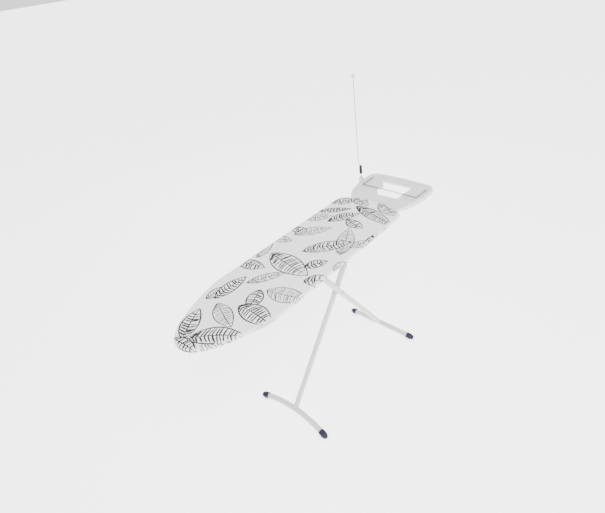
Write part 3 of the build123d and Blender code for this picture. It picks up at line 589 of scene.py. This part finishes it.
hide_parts("pad")

# ---------------------------------------------------------------- steel top and its fittings
# The top is a pressed sheet with vent holes and a turned rim. Ribs, rails and hinge brackets are
# pressed from strip, riveted up under it and coated with it. Pins and clips are zinc plated.
node = frame["nodes"]


def powder(name, colour, darker, roughness):
    """Powder coat: fine orange peel over a faint speckle, and a slow random drift of tone."""
    made = Finish(name, IOR=1.5, Coat_Roughness=0.25, Coat_Weight=0.15)
    place = made.place()
    peel = made.noise(place, 0.0025, 3)
    drift = made.noise(place, 0.09, 4)
    speck = made.noise(place, 0.0008, 1)
    tone = drift * 0.75 + speck * 0.25
    made.feed("Base Color", made.mix(tone, darker, colour))
    made.feed("Roughness", peel * 0.12 + drift * 0.06 + roughness)
    made.feed("Normal", made.bump(peel, 0.00012, 0.5))
    return made


def drawn_metal(name, colour, darker, roughness, metallic=1.0):
    """Plated or drawn steel: fine marks, and cloudy plating that varies tone and gloss."""
    made = Finish(name, Metallic=metallic)
    place = made.place()
    cloud = made.noise(place, 0.012, 4)
    marks = made.noise(place, 0.0007, 2)
    made.feed("Base Color", made.mix(cloud, darker, colour))
    made.feed("Roughness", cloud * 0.14 + marks * 0.08 + roughness)
    made.feed("Normal", made.bump(marks, 0.00004, 0.4))
    return made


def moulded(name, colour, darker, roughness, grain=0.0012, depth=0.00008):
    """Moulded plastic: a fine spark-eroded grain, and a slow drift of colour and gloss."""
    made = Finish(name, IOR=1.49, Specular_IOR_Level=0.4)
    place = made.place()
    drift = made.noise(place, 0.06, 3)
    texture = made.noise(place, grain, 2)
    made.feed("Base Color", made.mix(drift, darker, colour))
    made.feed("Roughness", drift * 0.1 + texture * 0.06 + roughness)
    made.feed("Normal", made.bump(texture, depth, 0.5))
    return made


PANEL_COAT = powder("panel_powder_coat", (0.64, 0.64, 0.62, 1), (0.56, 0.56, 0.54, 1), 0.45)
ZINC = drawn_metal("zinc_plate", (0.58, 0.59, 0.60, 1), (0.40, 0.41, 0.43, 1), 0.28)
NYLON = moulded("pale_nylon", (0.70, 0.70, 0.67, 1), (0.60, 0.60, 0.57, 1), 0.42)
NAVY = moulded("navy_plastic", (0.004, 0.003, 0.022, 1), (0.002, 0.0015, 0.012, 1), 0.40)
for name in ("top_panel", "nose_brace", "middle_brace", "rail_left", "rail_right",
             "hinge_bracket_left", "hinge_bracket_right", "rest_support_left", "rest_support_right"):
    coat(node[name], PANEL_COAT)
for name in ("hinge_rod", "hinge_rod_clips", "panel_rivets", "rest_screws", "hook_pin", "lock_rod",
             "lock_lever", "lock_rack_left", "lock_rack_right", "pivot_bolt", "pivot_nut"):
    coat(node[name], ZINC)
for name in ("long_head_bushes", "short_head_rollers", "pivot_spacer", "wire_sockets", "hook_base",
             "transport_hook"):
    coat(node[name], NYLON)
coat(node["lock_grip"], NAVY)

# ---------------------------------------------------------------- lock spring
# A torsion spring of round wire, wound close round the lock rod, which pulls the racks up.
spring_low, spring_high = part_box("lock_spring")
SPRING_STEEL = drawn_metal(
    "spring_steel", (0.030, 0.030, 0.032, 1), (0.015, 0.015, 0.017, 1), 0.34, 0.35
)
SPRING_WIRE = 0.0016
SPRING_TURNS = 8
spring_r = (spring_high.x - spring_low.x - SPRING_WIRE) / 2
spring_turn = np.linspace(0, 2 * np.pi * SPRING_TURNS, 24 * SPRING_TURNS)
spring_line = np.column_stack([
    (spring_low.x + spring_high.x) / 2 + spring_r * np.cos(spring_turn),
    np.linspace(spring_low.y + SPRING_WIRE, spring_high.y - SPRING_WIRE, len(spring_turn)),
    (spring_low.z + spring_high.z) / 2 + spring_r * np.sin(spring_turn),
])
lock_coil = tube("lock_spring_coil", spring_line, SPRING_WIRE / 2, 8, closed=False)
coat(lock_coil, SPRING_STEEL)
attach(lock_coil, "height_lock")
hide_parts("lock_spring")

# ---------------------------------------------------------------- legs and feet
# Each leg is an upper tube sleeved over a lower one, welded to an arched foot tube, and powder
# coated in one piece, so the weld shows only as a soft fillet. The crossing has one bolt.
LEG_COAT = powder("leg_powder_coat", (0.56, 0.56, 0.535, 1), (0.50, 0.50, 0.475, 1), 0.34)
for name in ("long_leg_upper", "long_leg_lower", "long_foot", "long_head_bar",
             "short_leg_upper", "short_leg_lower", "short_foot", "short_head_bar"):
    coat(node[name], LEG_COAT)

FOOT_R = 0.015
LOWER_R = 0.0135
BEAD_R = 0.0026
LEG_ASIDE = 0.0165
joint = {j["name"]: j for j in frame["joints"]}
crossing = np.array(joint["short_leg_cross"]["pos_m"])


def weld_bead(name, centre, axis, body):
    """The weld where a leg tube stands on its foot tube.

    Round the leg, at an angle a from the foot's direction, the seam is LOWER_R cos a along the
    foot and LOWER_R sin a across it, and it rises along the leg by the foot's own roundness.
    """
    axis = axis / np.linalg.norm(axis)
    foot_way = np.array([0.0, 1.0, 0.0]) - axis * axis[1]
    foot_way /= np.linalg.norm(foot_way)
    across = np.cross(axis, foot_way)
    a = np.linspace(0, 2 * np.pi, 72, endpoint=False)
    rise = np.sqrt(FOOT_R**2 - (LOWER_R * np.sin(a)) ** 2)
    seam = centre + LOWER_R * (np.cos(a)[:, None] * foot_way + np.sin(a)[:, None] * across)
    seam = seam + rise[:, None] * axis
    bead = tube(name, seam, BEAD_R * (1 + 0.08 * np.sin(17 * a)), 12)
    coat(bead, LEG_COAT)
    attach(bead, body)


for leg, lean in (("long", 1), ("short", -1)):
    foot_low, foot_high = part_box(f"{leg}_foot")
    foot_x = foot_high.x - FOOT_R if leg == "long" else foot_low.x + FOOT_R
    tee = np.array([foot_x, 0.0, foot_high.z - FOOT_R])
    weld_bead(f"{leg}_foot_weld", tee, crossing + (0, lean * LEG_ASIDE, 0) - tee, f"{leg}_leg")

# ---------------------------------------------------------------- foot caps
# Navy plastic caps with a bullet nose, pushed over the ends of the foot tubes. They are flat
# where they stand on the floor, and the mouth has a thin rolled lip.
for leg in ("long", "short"):
    for side in ("left", "right"):
        coat(node[f"{leg}_foot_cap_{side}"], NAVY)

# ---------------------------------------------------------------- iron rest
# One moulded tray in pale plastic, screwed to two steel straps behind the heel. It has a broad
# rolled rim, a recessed floor for the iron, and a window that lets steam through.
tray_low, tray_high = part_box("rest_tray")
CENTRE = np.array([0.607, 0.0])
RIM_TOP = tray_high.z - 0.001
FLOOR_Z = 0.902
SKIN = 0.003
HEEL_GAP = 0.0025


def rounded_plan(corners, per_corner=24):
    """A closed outline through corner arcs: each corner (x, y, radius) is cut by the arc of that
    radius tangent to both its sides."""
    corners = np.array(corners)
    at, radius = corners[:, :2], corners[:, 2]
    back = np.roll(at, 1, 0) - at
    ahead = np.roll(at, -1, 0) - at
    back /= np.linalg.norm(back, axis=1, keepdims=True)
    ahead /= np.linalg.norm(ahead, axis=1, keepdims=True)
    half = np.arccos(np.clip((back * ahead).sum(1), -1, 1)) / 2
    middle = back + ahead
    middle /= np.linalg.norm(middle, axis=1, keepdims=True)
    hub = at + middle * (radius / np.sin(half))[:, None]
    first = at + back * (radius / np.tan(half))[:, None] - hub
    last = at + ahead * (radius / np.tan(half))[:, None] - hub
    t = np.linspace(0, 1, per_corner)[None, :, None]
    sweep = np.pi - 2 * half[:, None, None]
    arc = (np.sin((1 - t) * sweep) * first[:, None] + np.sin(t * sweep) * last[:, None]) / np.sin(sweep)
    return (hub[:, None] + arc).reshape(-1, 2)


def polar_radius(outline, angles):
    """How far an outline lies from the tray's centre at given angles, its sides kept straight."""
    t = np.linspace(0, 1, 12, endpoint=False)[None, :, None]
    dense = outline[:, None] * (1 - t) + np.roll(outline, -1, 0)[:, None] * t
    off = dense.reshape(-1, 2) - CENTRE
    at = np.arctan2(off[:, 1], off[:, 0])
    order = np.argsort(at)
    return np.interp(angles, at[order], np.hypot(*off.T)[order], period=2 * np.pi)


TRAY_CORNERS = (
    (0.440, 0.125, 0.008), (0.520, 0.180, 0.200), (0.640, 0.201, 0.400), (0.762, 0.199, 0.052),
)
tray_plan = rounded_plan(
    [*TRAY_CORNERS, (CAD_HIGH.x, 0.0, 1.0), *[(x, -y, r) for x, y, r in reversed(TRAY_CORNERS)]]
)
WINDOW = (
    (0.565, 0.038, 0.005), (0.630, 0.080, 0.005), (0.650, 0.056, 0.005),
    (0.717, 0.102, 0.005), (0.717, -0.084, 0.005), (0.568, -0.078, 0.005),
)
window_plan = rounded_plan(WINDOW)
RAYS = 360
angle = np.linspace(-np.pi, np.pi, RAYS, endpoint=False)
ray = np.stack([np.cos(angle), np.sin(angle)], 1)
outer = polar_radius(tray_plan, angle)
inner = polar_radius(window_plan, angle)
heel_side = EDGE + EDGE_OUT * HEEL_GAP
facing = heel_side[heel_side[:, 0] > HEEL - 0.075]
off_heel = facing - CENTRE
heel_angle = np.mod(np.arctan2(off_heel[:, 1], off_heel[:, 0]), 2 * np.pi)
heel_order = np.argsort(heel_angle)
heel_reach = np.interp(
    np.mod(angle, 2 * np.pi), heel_angle[heel_order], np.hypot(*off_heel.T)[heel_order], left=9, right=9
)
outer = np.minimum(outer, heel_reach)
FRONT_FROM = 1.95
FRONT_BLEND = 0.45
FRONT_DROP = 0.0115
front = np.clip((np.abs(angle) - FRONT_FROM) / FRONT_BLEND, 0, 1)
front = front * front * (3 - 2 * front)
rim_z = RIM_TOP - front * FRONT_DROP
RIM = 0.024
LIP = 0.006
SKIRT_TOP = 0.908
TRAY_PROFILE = (
    # share of the rim from outside, share of its height above the floor
    (0.00, -1.00), (0.00, 0.20), (0.01, 0.55), (0.05, 0.80), (0.13, 0.94), (0.25, 1.00),
    (0.45, 0.99), (0.60, 0.90), (0.72, 0.70), (0.84, 0.38), (0.95, 0.10), (1.10, 0.00),
)
LIP_PROFILE = (
    # share of the lip from the window, height above the floor
    (1.9, 0.0001), (1.4, 0.0012), (0.9, 0.0021), (0.4, 0.0022), (0.1, 0.0014), (0.0, 0.0),
)


def tray_loop(radius, z):
    """One closed loop of the tray, at a distance from its centre along every ray."""
    return np.column_stack([CENTRE + ray * radius[:, None], np.broadcast_to(z, RAYS)])


tray_rows = []
for share, height in TRAY_PROFILE:
    z = tray_low.z if height < 0 else FLOOR_Z + (rim_z - FLOOR_Z) * height
    tray_rows.append(tray_loop(outer - share * RIM, z))
floor_from = outer - 1.10 * RIM
for t in np.linspace(0, 1, 8)[1:]:
    radius = floor_from + (inner + 2.2 * LIP - floor_from) * t
    tray_rows.append(tray_loop(radius, FLOOR_Z - 0.0006 * np.sin(np.pi * t)))
for away, rise in LIP_PROFILE:
    tray_rows.append(tray_loop(inner + away * LIP, FLOOR_Z + rise))
for radius, z in (
    (inner, tray_low.z + 0.001),
    (inner + SKIN, tray_low.z + 0.001),
    (inner + SKIN, FLOOR_Z - SKIN),
    (outer - RIM, FLOOR_Z - SKIN),
    (outer - 0.6 * RIM, rim_z - SKIN * 1.6),
    (outer - 0.25 * RIM, rim_z - SKIN * 1.2),
    (outer - SKIN, np.minimum(rim_z, SKIRT_TOP) - SKIN),
    (outer - SKIN, tray_low.z),
):
    tray_rows.append(tray_loop(radius, z))
tray = surface("rest_dish", tray_rows, closed_ends=True)
tray_plastic = moulded("rest_plastic", (0.70, 0.70, 0.685, 1), (0.63, 0.63, 0.615, 1), 0.36, 0.0014, 0.0001)
coat(tray, tray_plastic)
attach(tray, "board")
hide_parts("rest_tray")
coat(node["mast_socket"], tray_plastic)

# ---------------------------------------------------------------- iron stop
# A bent steel wire across the rest, lacquered black, that the heel of the iron stands against.
# It is sprung into two nylon sockets at the rear.
WIRE_LACQUER = powder("wire_lacquer", (0.006, 0.006, 0.007, 1), (0.003, 0.003, 0.0035, 1), 0.5)
coat(node["heel_stop_wire"], WIRE_LACQUER)

# ---------------------------------------------------------------- cord mast
# A long spring-steel wire that lifts the iron's cord. It is wound into a coil at its foot, so it
# gives way, and it stands in a clip on the rest's far rim. A soft ball guards its end.
coil_low, coil_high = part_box("mast_coil")
COIL_WIRE = 0.003
COIL_FOOT = 0.9465
COIL_TURNS = 15
mast_x = (coil_low.x + coil_high.x) / 2
mast_y = (coil_low.y + coil_high.y) / 2
coil_r = (coil_high.x - coil_low.x - COIL_WIRE) / 2
lift = np.linspace(0, 1, COIL_TURNS * 28)
coil_angle = lift * 2 * np.pi * COIL_TURNS
close_in = np.clip(np.minimum(lift, 1 - lift) * COIL_TURNS / 0.5, 0, 1)
coil_line = np.column_stack([
    mast_x + coil_r * close_in * np.cos(coil_angle),
    mast_y + coil_r * close_in * np.sin(coil_angle),
    COIL_FOOT + (coil_high.z - 0.0012 - COIL_FOOT) * lift,
])
stem_z = np.linspace(coil_low.z, COIL_FOOT - 0.002, 6)
stem = np.column_stack([np.full(6, mast_x), np.full(6, mast_y), stem_z])
coil = tube("mast_spring", np.concatenate([stem, coil_line]), COIL_WIRE / 2, 10, closed=False)
coat(coil, SPRING_STEEL)
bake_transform(coil)
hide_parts("mast_coil")
coat(node["mast_wire"], WIRE_LACQUER)

milky = Finish("milky_plastic", Base_Color=(0.72, 0.72, 0.71, 1), Transmission_Weight=0.25, IOR=1.46)
milky_place = milky.place()
cloudy = milky.noise(milky_place, 0.006, 3)
milky.feed("Base Color", milky.mix(cloudy, (0.62, 0.62, 0.61, 1), (0.78, 0.78, 0.77, 1)))
milky.feed("Roughness", cloudy * 0.15 + 0.22)
milky.feed("Normal", milky.bump(cloudy, 0.0001, 0.3))
coat(node["mast_tip"], milky)
